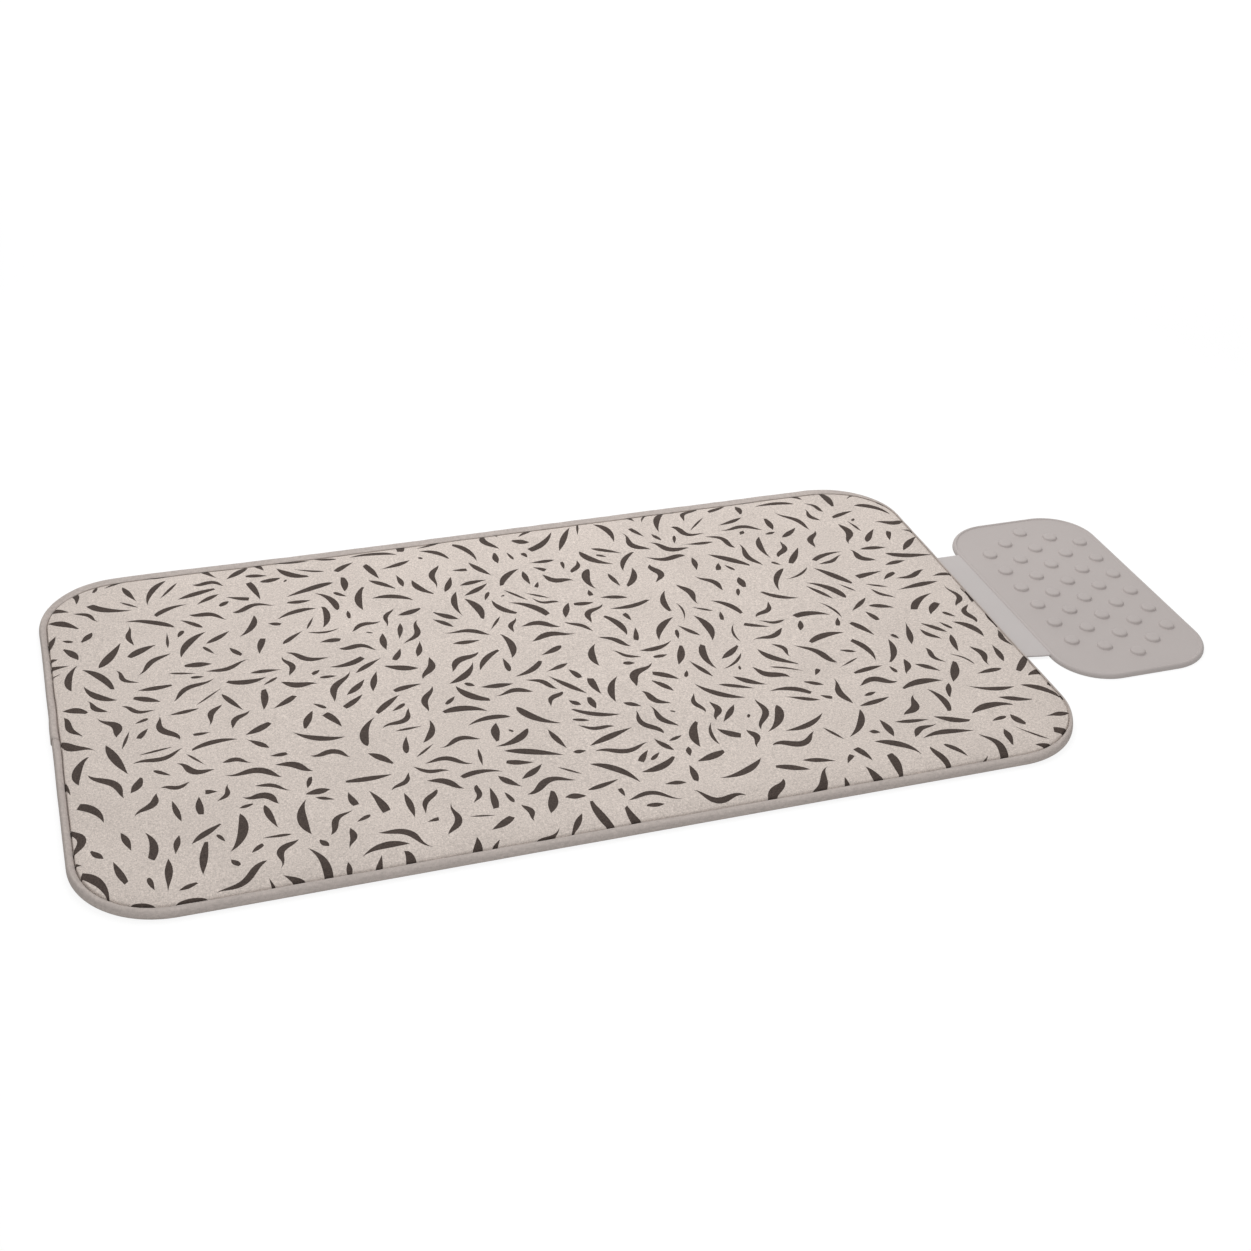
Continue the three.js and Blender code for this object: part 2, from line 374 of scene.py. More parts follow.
def inside_marks(points, marks):
    """Which points lie inside a mark: those that its outline winds round."""
    found = np.zeros(len(points), bool)
    for mark in marks:
        (left, low), (right, high) = mark.min(0), mark.max(0)
        x, y = points.T
        near = np.flatnonzero((x > left) & (x < right) & (y > low) & (y < high))
        spokes = mark[None] - points[near, None]
        onward = np.roll(spokes, -1, 1)
        cross = spokes[..., 0] * onward[..., 1] - spokes[..., 1] * onward[..., 0]
        turn = np.arctan2(cross, (spokes * onward).sum(-1)).sum(1)
        found[near[np.abs(turn) > math.pi]] = True
    return found


def grid_points(spacing, margin, half=PAD_HALF, radius=CORNER):
    """Staggered points inside a rounded rectangle."""
    points = []
    for row, y in enumerate(np.arange(-half[1], half[1], spacing * ROW_PITCH)):
        for x in np.arange(-half[0] + (row % 2) * spacing / 2, half[0], spacing):
            points.append((x, y))
    points = np.array(points)
    return points[edge_frame(points, half, radius)[0] > margin]


def clear_of(points, marks):
    """The points that aren't next to a mark's edge, so that no sliver faces form there."""
    near = set()
    for mark in marks:
        for x, y in np.floor(mark / CLEAR_CELL).astype(int):
            near.update(((x, y), (x + 1, y), (x, y + 1), (x - 1, y), (x, y - 1)))
    spots = np.floor(points / CLEAR_CELL).astype(int)
    return points[[tuple(spot) not in near for spot in spots]]


def closed_sheet(name, edge_inset, spacing, steps, ring_steps, top, bottom, marks=()):
    """A layer as a closed body between two height functions, with rings of points that follow the seam.
    The marks' outlines become edges of its upper side. Also gives the middles of that side's faces."""
    base, normals = outline(*steps)
    boundary = base - edge_inset(normals, base)[:, None] * normals
    base, normals = outline(*ring_steps)
    inset, seam = edge_inset(normals, base), seam_inset(normals, base)
    rings = []
    for past in np.array(RINGS) * MM:
        fits = seam + past > inset + RING_ROOM
        rings.append((base - (seam + past)[:, None] * normals)[fits])
    points = np.vstack([*rings, grid_points(spacing, GRID_MARGIN)])
    upper, upper_faces, _ = triangulate(boundary, clear_of(points, marks), marks)
    upper_rim = rim_of(upper_faces)
    lower, lower_faces, lower_rim = triangulate(upper[upper_rim], points)
    count = len(upper)
    vertices = np.vstack([np.c_[warp(upper), top(upper)], np.c_[warp(lower), bottom(lower)]])
    faces = upper_faces + [tuple(i + count for i in reversed(face)) for face in lower_faces]
    for k, a in enumerate(upper_rim):
        onward = (k + 1) % len(upper_rim)
        faces.append((upper_rim[onward], a, lower_rim[k] + count, lower_rim[onward] + count))
    used = sorted({i for face in faces for i in face})
    number = {old: new for new, old in enumerate(used)}
    obj = mesh_object(name, vertices[used], [tuple(number[i] for i in face) for face in faces])
    return obj, upper[np.array(upper_faces)].mean(1)


def ring_faces(start, rows, columns):
    """Faces between rings of points that are numbered one after another."""
    faces = []
    for ring in range(start, start + (rows - 1) * columns, columns):
        for k in range(columns):
            a, b = ring + k, ring + (k + 1) % columns
            faces.append((a, b, b + columns, a + columns))
    return faces


def sweep(name, rings):
    """A skin through rings of points, each ring a closed section, with both ends closed."""
    rings = np.array(rings)
    rows, columns = rings.shape[:2]
    last = (rows - 1) * columns
    faces = [(a, d, c, b) for a, b, c, d in ring_faces(0, rows, columns)]
    faces.append(tuple(range(columns)))
    faces.append(tuple(last + k for k in reversed(range(columns))))
    return mesh_object(name, rings.reshape(-1, 3), faces)


def run_along(points):
    """How far along a line each of its points lies."""
    return np.concatenate(([0], np.cumsum(norm(np.diff(points, axis=0), axis=1))))


def turn_out(obj):
    """Makes the faces of a closed mesh look outwards."""
    b = bmesh.new()
    b.from_mesh(obj.data)
    bmesh.ops.recalc_face_normals(b, faces=b.faces)
    b.to_mesh(obj.data)
    b.free()
    return obj


def sharpened(obj):
    """Keeps crisp edges crisp under smooth shading."""
    obj.data.set_sharp_from_angle(angle=SHARP_ANGLE)
    return obj


def assign(obj, *materials):
    obj.data.materials.clear()
    for material in materials:
        obj.data.materials.append(material)


# Cloth simulation
FULLNESS = 0.004  # how much larger the cover is cut than what it covers
SETTLE_LIMIT = 1.2 * MM
SETTLE_STEPS = mm(13, 10)
SETTLE_SEAM = 1 * MM  # how far past the tape's edge the cover is held
SETTLE_ROOM = 19 * MM
PADDING_BELOW = 1.2 * MM
BLUR, BLUR_POINTS = 11 * MM, 9
TINY = 1e-12
# In the solver's own units, at a scale of ten
SETTLE_SCALE, SETTLE_FRAMES = 10, 28
CLOTH_GAP, CLOTH_FRICTION = 0.004, 20
CLOTH_FEEL = {
    "quality": 7, "mass": 0.25, "tension_stiffness": 60, "compression_stiffness": 60,
    "shear_stiffness": 25, "bending_stiffness": 6, "air_damping": 4, "shrink_min": -FULLNESS,
    "vertex_group_mass": "held",
}


def simulate(flat, plain, triangles, loop):
    """How high the points of a cloth end that starts at plain and is held along a loop, over padding."""
    cloth = mesh_object("settling_cover", np.c_[flat, plain] * SETTLE_SCALE, triangles)
    padding = np.c_[flat, plain - PADDING_BELOW] * SETTLE_SCALE
    below = mesh_object("settling_padding", padding, triangles)
    below.modifiers.new("rest", "COLLISION")
    below.collision.thickness_outer = CLOTH_GAP
    below.collision.cloth_friction = CLOTH_FRICTION
    cloth.vertex_groups.new(name="held").add(loop, 1.0, "REPLACE")
    made = cloth.modifiers.new("cloth", "CLOTH")
    for key, value in CLOTH_FEEL.items():
        setattr(made.settings, key, value)
    made.collision_settings.distance_min = CLOTH_GAP
    made.collision_settings.use_self_collision = False
    made.point_cache.frame_start, made.point_cache.frame_end = 1, SETTLE_FRAMES
    for number in range(1, SETTLE_FRAMES + 1):
        scene.frame_set(number)
    final = cloth.evaluated_get(bpy.context.evaluated_depsgraph_get())
    ends = np.array([v.co.z for v in final.to_mesh().vertices]) / SETTLE_SCALE
    final.to_mesh_clear()
    scene.frame_set(1)
    for obj in (cloth, below):
        bpy.data.objects.remove(obj)
    return ends


def settle_cover():
    """Lets the cover settle as cloth over the padding, held along its seam and cut a little full. Fills
    the grid of how far it ends above or below its plain form."""
    base, normals = outline(*SETTLE_STEPS)
    ring = base - (seam_inset(normals, base) + SETTLE_SEAM)[:, None] * normals
    flat, triangles, loop = triangulate(ring, grid_points(SETTLE_STEPS[0], SETTLE_ROOM))
    plain = cover_top(flat)
    lift = np.clip(simulate(flat, plain, triangles, loop) - plain, -SETTLE_LIMIT, SETTLE_LIMIT)
    tree = kdtree.KDTree(len(flat))
    for k, (x, y) in enumerate(flat):
        tree.insert((x, y, 0), k)
    tree.balance()
    for i, j in np.ndindex(settled.shape):
        x, y = (SETTLE_CELL * (n - SETTLE_MARGIN) - half for n, half in zip((i, j), PAD_HALF))
        found = tree.find_n((x, y, 0), BLUR_POINTS)
        weights = np.array([math.exp(-((d / BLUR) ** 2)) for _, _, d in found]) + TINY
        settled[i, j] = round(float(weights @ lift[[k for _, k, _ in found]] / weights.sum()), 6)


# Print
PRINT_SEED = 41
# Kind, how many, length in mm, width in mm, bend in degrees, gap to the next in mm
PRINT_GROUPS = (
    ("leaf", 65, (42, 58), (6.4, 9), (5, 58), 5.2),
    ("wave", 95, (38, 58), (6, 9), (30, 65), 5.4),
    ("flick", 95, (32, 50), (6.2, 9), (5, 62), 4.8),
    ("leaf", 80, (26, 38), (5.2, 7.4), (5, 50), 4.2),
    ("flick", 75, (19, 31), (5.4, 8.6), (5, 60), 4),
    ("wave", 45, (28, 40), (4.6, 7), (25, 55), 4),
    ("leaf", 45, (24, 40), (2.2, 3.6), (5, 60), 3.6),
    ("flick", 60, (11, 18), (4, 6.2), (0, 20), 3.6),
    ("drop", 30, (11, 18), (4.2, 6), (0, 20), 3.6),
    ("seed", 12, (4.5, 8), (2.2, 3.6), (0, 20), 3.6),
)
TRIES = 260
PRINT_CELL = 1.5 * MM  # of the grid that says which cloth is taken
PRINT_MARGIN, SPAN = 20, 8  # cells round the pad, and cells that a fleck's gap can reach
SHORT_STEPS, LONG_STEPS, LONG_FROM = 13, 17, 18 * MM
CLEAR_BY, LONG_CLEAR_BY, CLEAR_LONG_FROM = mm(2.2, 2.4, 38)


def fleck(kind, length, width, bend, rng):
    """Outline, spine and half widths of one printed fleck, about its own middle."""
    first = rng.uniform(0.1, 0.24) if kind == "flick" else 0.0
    t = np.linspace(first, 1, LONG_STEPS if length > LONG_FROM else SHORT_STEPS)
    if kind == "drop":
        t = t**1.8
    pace = np.gradient(t)
    heading = bend * (t - 0.5)
    if kind == "wave":
        heading = bend * np.sin(TAU * (t - 0.1)) * 0.6
    strides = (pace * length / pace.sum())[:, None]
    spine = np.cumsum(np.c_[np.cos(heading), np.sin(heading)] * strides, 0)
    spine -= spine.mean(0)
    side = np.c_[-np.sin(heading), np.cos(heading)]
    if kind == "seed":
        half = np.sqrt(np.clip(np.sin(math.pi * t), 0, 1))
    elif kind == "drop":
        half = 2.2 * t**0.5 * (1 - t)
    else:
        half = np.sin(math.pi * t ** rng.uniform(0.62, 1.5))
    half = half * width / 2
    left, right = spine + side * half[:, None], spine - side * half[:, None]
    if first:  # the blunt end is cut on the slant
        left[0] += (spine[1] - spine[0]) * rng.uniform(-0.9, 0.9)
    return np.vstack([right, left[-2::-1] if first else left[-2:0:-1]]), spine, half


def clear_bend(length, width, bend):
    """A bend that bows a fleck clearly further than half its width, or clearly less."""
    if abs(length * bend / 8 - width / 2) >= CLEAR_BY:
        return bend
    bulge = LONG_CLEAR_BY if length > CLEAR_LONG_FROM else max(-CLEAR_BY, -width / 2)
    return 8 * (width / 2 + bulge) / length


def scatter():
    """The print: leaves, waves, flicks, drops and seeds thrown over the cloth so that none touch."""
    rng = random.Random(PRINT_SEED)
    taken = np.zeros([int(2 * half / PRINT_CELL) + 2 * PRINT_MARGIN for half in PAD_HALF], bool)
    around = np.arange(-SPAN, SPAN + 1)
    reach = np.hypot(*np.meshgrid(around, around, indexing="ij")) * PRINT_CELL

    def cells(points):
        return (np.floor((points + PAD_HALF) / PRINT_CELL) + PRINT_MARGIN).astype(int)

    def throw(shape, spine, half, gap):
        """A free place for a fleck, if a few tries find one. It takes the cloth there."""
        for _ in range(TRIES):
            angle = rng.uniform(0, TAU)
            turn = np.array(((math.cos(angle), math.sin(angle)), (-math.sin(angle), math.cos(angle))))
            at = np.array((rng.uniform(-1, 1) * HALF_LENGTH, rng.uniform(-1, 1) * HALF_WIDTH))
            placed, line = shape @ turn + at, spine @ turn + at
            spots = cells(np.vstack([placed, line]))
            if taken[spots[:, 0], spots[:, 1]].any():
                continue
            for (i, j), wide in zip(cells(line), half):
                block = taken[i - SPAN : i + SPAN + 1, j - SPAN : j + SPAN + 1]
                block |= (reach <= wide + gap)[: block.shape[0], : block.shape[1]]
            return [placed]
        return []

    marks = []
    for kind, count, lengths, widths, bends, gap in PRINT_GROUPS:
        for _ in range(count):
            length, width = rng.uniform(*lengths) * MM, rng.uniform(*widths) * MM
            bend = math.radians(rng.uniform(*bends))
            if kind != "wave":
                bend = clear_bend(length, width, bend)
            bend *= rng.choice((-1, 1))
            marks += throw(*fleck(kind, length, width, bend, rng), gap * MM)
    return marks


# Materials
def add_node(tree, kind, inputs=None, output=0, **settings):
    """Adds a node, whose inputs are values or outputs of others, and gives one of its outputs."""
    made = tree.nodes.new("ShaderNode" + kind)
    for key, value in settings.items():
        setattr(made, key, value)
    for key, value in (inputs or {}).items():
        if isinstance(value, bpy.types.NodeSocket):
            tree.links.new(value, made.inputs[key])
        else:
            made.inputs[key].default_value = value
    return made.outputs[output]


def linear(*rgb):
    """8-bit sRGB to linear."""
    parts = [c / 255 for c in rgb]
    return tuple(c / 12.92 if c <= 0.04045 else ((c + 0.055) / 1.055) ** 2.4 for c in parts)


class Look:
    """A material being wired up."""

    def __init__(self, name, roughness, specular=0.5, metallic=0.0):
        self.material = bpy.data.materials.new(name)
        self.material.use_nodes = True
        self.tree = self.material.node_tree
        self.shader = self.tree.nodes["Principled BSDF"].inputs
        fixed = {"Roughness": roughness, "Specular IOR Level": specular, "Metallic": metallic}
        for socket, value in fixed.items():
            self.shader[socket].default_value = value

    def node(self, kind, inputs=None, **settings):
        return add_node(self.tree, kind, inputs, **settings)

    def feed(self, socket, value):
        self.tree.links.new(value, self.shader[socket])

    def place(self, which="Object"):
        return self.node("TexCoord", output=which)

    def math(self, operation, *values):
        return self.node("Math", dict(enumerate(values)), operation=operation)

    def noise(self, scale, detail=3.0, roughness=0.55, place=None, stretch=None):
        place = place or self.place()
        if stretch:
            place = self.node("Mapping", {"Vector": place, "Scale": stretch})
        return self.node("TexNoise", {
            "Vector": place, "Scale": scale, "Detail": detail, "Roughness": roughness,
        })

    def spread(self, value, low, high, first=0.3, last=0.7):
        """Maps first to last, about what noise gives, onto low to high."""
        return self.node("MapRange", dict(enumerate((value, first, last, low, high))))

    def weave(self, pitch, place=None, turn=0.0):
        """Plain weave: 0 between the threads to 1 on top of them."""
        place = place or self.place()
        turned = self.node("Mapping", {"Vector": place, "Rotation": (0, 0, turn)})
        bent = self.noise(60, detail=2, place=place)
        waves = []
        for axis in ("X", "Y"):
            along = self.node("SeparateXYZ", {0: turned}, output=axis)
            phase = self.math("MULTIPLY_ADD", along, math.pi / pitch, self.math("MULTIPLY", bent, 5.0))
            waves.append(self.math("SINE", phase))
        return self.math("MULTIPLY_ADD", self.math("MULTIPLY", *waves), 0.5, 0.5)

    def tint(self, color, *parts):
        """An 8-bit sRGB colour multiplied by parts, each given as for spread."""
        total = 1
        for part in parts:
            total = self.math("MULTIPLY", total, self.spread(*part))
        tinted = self.node("VectorMath", {0: linear(*color), 1: total}, operation="MULTIPLY")
        self.feed("Base Color", tinted)

    def bump(self, height, distance, strength=1.0):
        bumped = self.node("Bump", {"Height": height, "Distance": distance, "Strength": strength})
        self.feed("Normal", bumped)

    def rough(self, *part):
        self.feed("Roughness", self.spread(*part))


def canvas(name, color, contrast, roughness):
    """Printed or plain canvas. Threads vary in thickness along both directions."""
    look = Look(name, roughness, specular=0.2)
    weave, mottle = look.weave(pitch=0.55 * MM), look.noise(14, detail=4)
    threads = [look.noise(1000, roughness=0.7, stretch=way) for way in ((1, 0.4, 1), (0.4, 1, 1))]
    low, high = 1 - contrast, 1 + contrast
    shades = [(thread, low, high) for thread in threads]
    look.tint(color, (mottle, 1 - 0.2 * contrast, 1 + 0.2 * contrast), *shades, (weave, low, high, 0, 1))
    threads = look.math("ADD", *threads)
    look.bump(look.math("MULTIPLY_ADD", threads, 0.5, weave), distance=0.12 * MM, strength=0.8)
    look.rough(mottle, roughness - 0.05, roughness + 0.03)
    return look.material


def tape_cloth():
    """Bias tape: the weave runs askew to the tape's length, which is the U direction."""
    look = Look("tape_cloth", roughness=0.9, specular=0.25)
    flat = look.place("UV")
    weave = look.weave(pitch=0.4 * MM, place=flat, turn=math.pi / 4)
    fibres = look.noise(1400, detail=2, place=flat, stretch=(1, 0.25, 1))
    mottle = look.noise(70, detail=5, roughness=0.65, place=flat, stretch=(0.3, 1.8, 1))
    slubs = look.noise(330, roughness=0.6, place=flat, stretch=(0.7, 1.2, 1))
    shades = (mottle, 0.92, 1.06), (slubs, 0.87, 1.1), (fibres, 0.92, 1.08), (weave, 0.93, 1.06, 0, 1)
    look.tint((186, 176, 170), *shades)
    look.bump(look.math("MULTIPLY_ADD", fibres, 0.5, weave), distance=0.09 * MM, strength=0.8)
    look.rough(mottle, 0.84, 0.94)
    return look.material


def thread_cloth():
    """Twisted sewing thread."""
    look = Look("sewing_thread", roughness=0.7, specular=0.3)
    twist = look.noise(2600, detail=1, stretch=(1, 1, 0.5))
    look.tint((118, 104, 96), (twist, 0.88, 1.1))
    look.bump(twist, distance=0.05 * MM)
    return look.material


def silicone(name, color):
    """Matte silicone with a fine moulded grain and faint cloudiness."""
    look = Look(name, roughness=0.55, specular=0.32)
    clouds, grain = look.noise(9), look.noise(1700, detail=2)
    look.tint(color, (clouds, 0.97, 1.025), (grain, 0.985, 1.015))
    look.bump(grain, distance=0.03 * MM, strength=0.6)
    look.rough(clouds, 0.5, 0.6)
    return look.material


def felt():
    """Matted fibres with soft clumps."""
    look = Look("felt", roughness=0.95, specular=0.15)
    fibres, clumps = look.noise(700, detail=5, roughness=0.7), look.noise(60)
    look.tint((228, 224, 216), (fibres, 0.85, 1.05), (clumps, 0.93, 1.03))
    look.bump(look.math("ADD", fibres, clumps), distance=0.4 * MM)
    return look.material


def foam():
    """Fine open cells."""
    look = Look("foam", roughness=0.95, specular=0.15)
    cells = look.node("TexVoronoi", {"Vector": look.place(), "Scale": 900.0})
    look.tint((238, 234, 224), (cells, 0.7, 1.05, 0, 0.9))
    look.bump(cells, distance=0.5 * MM)
    return look.material


def metallised():
    """Thin cloth with a dull metal face and faint creases."""
    look = Look("metallised_cloth", roughness=0.4, metallic=0.65)
    weave, creases = look.weave(pitch=0.5 * MM), look.noise(45, detail=4)
    look.tint((190, 190, 194), (creases, 0.9, 1.05), (weave, 0.93, 1.03))
    look.bump(look.math("MULTIPLY_ADD", creases, 3.0, weave), distance=0.1 * MM)
    return look.material


# Cover and layers
COVER_TUCK = 1.9 * MM  # how far the cover reaches under the tape
COVER_LEAST = 1.8 * MM
DIP_REACH, DIP_STEP = mm(3, 0.6)
# Spacing of the inner points, steps along the edge, steps along the rings
COVER_MESH = (9 * MM, mm(4.5, 3.5), mm(1.6, 1.6))
LAYER_MESH = (15 * MM, mm(9, 6), mm(9, 6))


def cover_edge(normals, base):
    """The cover's cut edge lies under the tape, further out where the tape is narrow."""
    return np.clip(seam_inset(normals, base) - COVER_TUCK, COVER_LEAST, LAYER_EDGE)


def followed(mark):
    """A mark whose outline has more points where it crosses the seam, so that it dips with the cover."""
    onward = np.roll(mark, -1, 0)
    inset, normal, foot = edge_frame((mark + onward) / 2)
    past = np.abs(inset - seam_inset(normal, foot))
    points = []
    for a, b, away in zip(mark, onward, past):
        length = norm(b - a)
        pieces = math.ceil(length / DIP_STEP) if away < DIP_REACH + length / 2 else 1
        points.extend(a + (b - a) * k / pieces for k in range(pieces))
    return np.array(points)


def everywhere(value):
    """A function that gives one value at every point."""
    return lambda points, *_: np.full(len(points), value)


def build_cover():
    """The cover, with its print as faces of their own colour."""
    marks = [followed(mark) for mark in scatter()]

    def bottom(p):
        return cover_top(p, COVER_SLACK) - LAYERS[-1][1]

    obj, middles = closed_sheet("printed_cover", cover_edge, *COVER_MESH, cover_top, bottom, marks)
    cloth = canvas("cover_canvas", (208, 197, 189), contrast=0.2, roughness=0.93)
    ink = canvas("cover_print", (72, 62, 57), contrast=0.34, roughness=0.88)
    assign(obj, cloth, ink)
    for polygon, printed in zip(obj.data.polygons, inside_marks(middles, marks)):
        polygon.material_index = int(printed)
    return obj


def build_layer(number):
    """A layer under the cover."""
    def top(p):
        return layer_top(p, number)

    def bottom(p):
        return layer_top(p, number - 1) + GAP if number else underside(p)

    edge = everywhere(FOAM_EDGE if number == FOAM else LAYER_EDGE)
    name = LAYERS[number][0] + "_layer"
    return closed_sheet(name, edge, *LAYER_MESH, top, bottom)[0]


# Edge binding
TOP_SHARES = (1, 0.9, 0.75, 0.5, 0.25)
LOW_SHARES = (0.4, 0.75, 1)
UPPER_ARC, LOWER_ARC = 10, 8  # points round the fold
UNROLLED_RING = 40


def tape_section(seam, crest, drop, sink):
    """Section of the folded tape as (inset, height) points: from the top seam round the outside to the
    bottom seam, and back on its inner side."""
    insets = [crest + (seam - crest) * share for share in TOP_SHARES]
    insets += [crest * (1 - math.cos(a)) for a in np.linspace(math.pi / 2, 0, UPPER_ARC)]
    height = EDGE_TOP - sink
    heights = [height - tape_dip(i, seam, crest, drop, height) for i in insets]
    for a in np.linspace(0, math.pi / 2, LOWER_ARC)[1:]:
        insets.append(LOW_FOLD * (1 - math.cos(a)))
        heights.append(WIDEST * (1 - math.sin(a)))
    for share in LOW_SHARES:
        insets.append(LOW_FOLD + (UNDER_SEAM - LOW_FOLD) * share)
        heights.append(UNDER_LIFT * share)
    outside = np.c_[insets, heights]
    run = np.gradient(outside, axis=0)
    run /= norm(run, axis=1)[:, None]
    inside = outside + TAPE * np.c_[-run[:, 1], run[:, 0]]
    outside[0] += CUT_EDGE
    return np.vstack([outside, inside[::-1]])


def tape_ring(foot, normal, shape, from_end):
    """The tape's section at one place, a little uneven. It lifts over the start where the end laps it."""
    section = tape_section(*shape)
    rows = len(section) // 2
    away = section - LAP_MIDDLE
    away /= norm(away, axis=1)[:, None]
    section = section + away * smooth(1 - (from_end - LAP_RINGS) / LAP_RISE_RINGS) * LAP_LIFT
    x, y = foot
    ripple = noise.noise((x / RIPPLE_WAVE, y / RIPPLE_WAVE, 1.3)) * RIPPLE
    slow = noise.noise((x / BULGE_WAVE, y / BULGE_WAVE, 4.3)) * BULGE
    tangent = np.array((-normal[1], normal[0]))
    ring = []
    for k, (inset, z) in enumerate(section):
        up, out = min(1.0, z / EDGE_TOP), max(0.0, 1 - inset / BULGE_DEPTH)
        point = foot - (inset - slow * out) * normal
        if from_end < SLANT_RINGS:  # the end is cut on the slant
            row = k if k < rows else 2 * rows - 1 - k
            slant = (row / rows - 0.5) * LAP_SLANT
            point = point - tangent * slant * (SLANT_RINGS - from_end) / SLANT_RINGS
        ring.append((*point, max(z + ripple * up + slow * BULGE_RISE * up, 0.0)))
    return ring


def unroll(obj, along, section):
    """Lays the tape's cloth out flat for its weave: U along the tape, V round the fold."""
    round_fold = run_along(section)
    layer = obj.data.uv_layers.new(name="cloth")
    for corner in obj.data.loops:
        row, column = divmod(corner.vertex_index, len(section))
        layer.data[corner.index].uv = (along[row], round_fold[column])


def cut_slot(obj):
    """Cuts the slot that the neck leaves the tape through."""
    y = PLATE_AT[1]
    cutter = turn_out(mesh_object("slot_cutter", list(itertools.product(
        (HALF_LENGTH - SLOT_REACH, HALF_LENGTH + SLOT_REACH),
        (y - NECK_HALF + NECK_SLIM - GAP, y + NECK_HALF + GAP),
        (NECK_BOTTOM - GAP, NECK_TOP + GAP),
    )), [(0, 1, 3, 2), (4, 6, 7, 5), (0, 4, 5, 1), (2, 3, 7, 6), (0, 2, 6, 4), (1, 5, 7, 3)]))
    cut = obj.modifiers.new("slot", "BOOLEAN")
    cut.operation, cut.solver, cut.object = "DIFFERENCE", "EXACT", cutter
    graph = bpy.context.evaluated_depsgraph_get()
    graph.update()
    final = obj.evaluated_get(graph)
    made = bpy.data.meshes.new_from_object(final, preserve_all_data_layers=True, depsgraph=graph)
    obj.modifiers.clear()
    obj.data = made
    bpy.data.objects.remove(cutter)


def build_tape():
    """One tape folded round the edge. It starts on the left side, and its cut end laps over its start.
    Also gives its length."""
    base, normals = outline(*TAPE_STEPS)
    first = np.argmin(np.hypot(base[:, 0] + HALF_LENGTH, base[:, 1] - TAPE_START))
    order = [(first + k) % len(base) for k in range(len(base) + LAP_RINGS)]
    shapes = list(zip(seam_inset(normals, base), *(by_side(normals, v) for v in (CRESTS, DROPS, SINKS))))
    along = run_along(base[order])
    rings = np.array([
        tape_ring(base[i], normals[i], shapes[i], len(order) - 1 - step) for step, i in enumerate(order)
    ])
    rings[:, :, :2] = warp(rings[:, :, :2].reshape(-1, 2)).reshape(len(order), -1, 2)
    obj = sweep("binding_tape", rings)
    unroll(obj, along, rings[UNROLLED_RING])
    turn_out(obj)
    cut_slot(obj)
    return obj, along[-1]


# Stitches
# Rings along a stitch, as shares: how far along it, how high, how thick
STITCH_RINGS = ((0, -1.2, 0.55), (0.12, 0.2, 0.95), (0.5, 0.35, 1), (0.88, 0.2, 0.95), (1, -1.2, 0.55))
PATH_STEP = 1.5 * MM
LOW_ROW_INSET, LOW_ROW_HEIGHT = UNDER_SEAM - 1.4 * MM, 0.22 * MM  # the row underneath


def build_stitches(name, inset_at, height_at, pitch, length, radius):
    """A row of stitches round the pad, each a short thread whose ends dive into the cloth."""
    base, normals = outline(PATH_STEP, PATH_STEP)
    path = base - inset_at(normals, base)[:, None] * normals
    closed = np.vstack([path, path[:1]])
    run = run_along(closed)
    count = int(run[-1] / pitch)
    sides = 5
    places, rises, girths = np.array(STITCH_RINGS).T
    vertices, faces = [], []
    for k in range(count):
        s = (k + places * length / pitch) * run[-1] / count
        points = np.c_[np.interp(s, run, closed[:, 0]), np.interp(s, run, closed[:, 1])]
        tangent = points[-1] - points[0]
        tangent /= norm(tangent)
        across = np.array((-tangent[1], tangent[0]))
        start = len(vertices)
        for (x, y), z, rise, girth in zip(warp(points), height_at(points), rises * radius, girths):
            for j in range(sides):
                a = TAU * j / sides
                out = across * math.cos(a) * radius * girth
                vertices.append((x + out[0], y + out[1], z + rise + math.sin(a) * radius * girth))
        faces += ring_faces(start, len(points), sides)
        faces.append(tuple(start + j for j in reversed(range(sides))))
        faces.append(tuple(len(vertices) - sides + j for j in range(sides)))
    return turn_out(mesh_object(name, vertices, faces))


def slit_inset(normals, base):
    """How far in the slit beside the tape lies."""
    return seam_inset(normals, base) + SLIT_PLACE * by_side(normals, SLIT_WIDTHS)


# Silicone rest
def plate_top(inner):
    """The floor inside the rim, with its studs: points, triangles and the loop's new numbers."""
    radii, heights = zip(*STUD_PROFILE)
    angles = np.arange(STUD_SIDES) * TAU / STUD_SIDES
    circle = np.c_[np.cos(angles), np.sin(angles)]
    points = []
    for place in STUDS:
        points += [place + circle * radius * MM for radius in radii[:-1]]
        points.append(place[None])
    grid = grid_points(9 * MM, 12 * MM, PLATE_HALF, PLATE_CORNER) + PLATE_AT
    gap = norm(grid[:, None] - STUDS[None], axis=2).min(1)
    points.append(grid[gap > STUD_ROOM])
    flat, triangles, loop = triangulate(inner, np.vstack(points))
    reach = norm(flat[:, None] - STUDS[None], axis=2).min(1)
    z = PLATE_FLOOR + np.interp(reach / MM, radii[::-1], heights[::-1]) * MM
    z = z + 0.05 * MM * noise_at(flat, 50 * MM, seed=9.1)
    return np.c_[flat, z], triangles, loop


